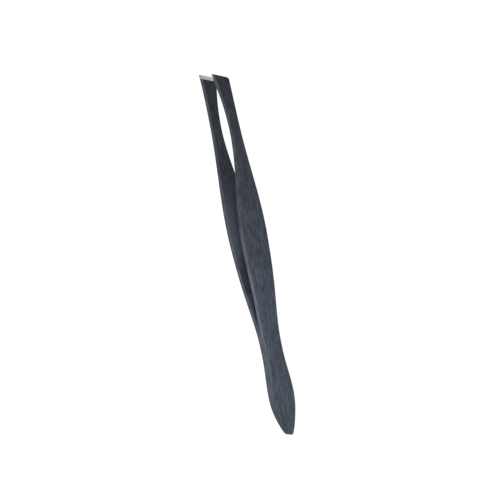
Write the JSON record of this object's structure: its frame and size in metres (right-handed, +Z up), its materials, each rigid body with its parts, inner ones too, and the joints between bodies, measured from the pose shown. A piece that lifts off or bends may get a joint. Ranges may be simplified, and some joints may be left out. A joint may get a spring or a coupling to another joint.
{
  "type": "tweezers",
  "caption": "Slant-tip precision tweezers: bowed spring-steel leaves, coated satin black and welded at the heel, whose ground jaws close on small parts.",
  "frame": {"origin": "on the surface that the tweezers lie on, under the middle of the bounding box", "axes": "+X along the leaves from the heel to the tip, +Y across the opening from the near leaf to the far leaf, +Z up, across the width of the leaves, which lie on their long side edges"},
  "size_m": [0.095, 0.0076, 0.0086],
  "materials": {
    "satin_black_coat": "satin baked black coat on spring steel",
    "ground_steel": "bare ground steel",
    "weld_steel": "fused spot-weld steel"
  },
  "bodies": {
    "heel": {"near_heel": "satin_black_coat", "far_heel": "satin_black_coat", "weld_nugget_rear": "weld_steel", "weld_nugget_front": "weld_steel"},
    "near_arm": {"near_arm": "satin_black_coat", "near_jaw": "ground_steel"},
    "far_arm": {"far_arm": "satin_black_coat", "far_jaw": "ground_steel"}
  },
  "joints": [
    {"name": "near_flexure", "type": "hinge", "parent": "heel", "child": "near_arm", "pos_m": [-0.0125, -0.00123, 0.0043], "axis": [0, 0, 1], "range_deg": [0, 1.64], "stiffness_Nm_per_rad": 4},
    {"name": "far_flexure", "type": "hinge", "parent": "heel", "child": "far_arm", "pos_m": [-0.0125, 0.00123, 0.0043], "axis": [0, 0, -1], "range_deg": [0, 1.64], "stiffness_Nm_per_rad": 4}
  ]
}
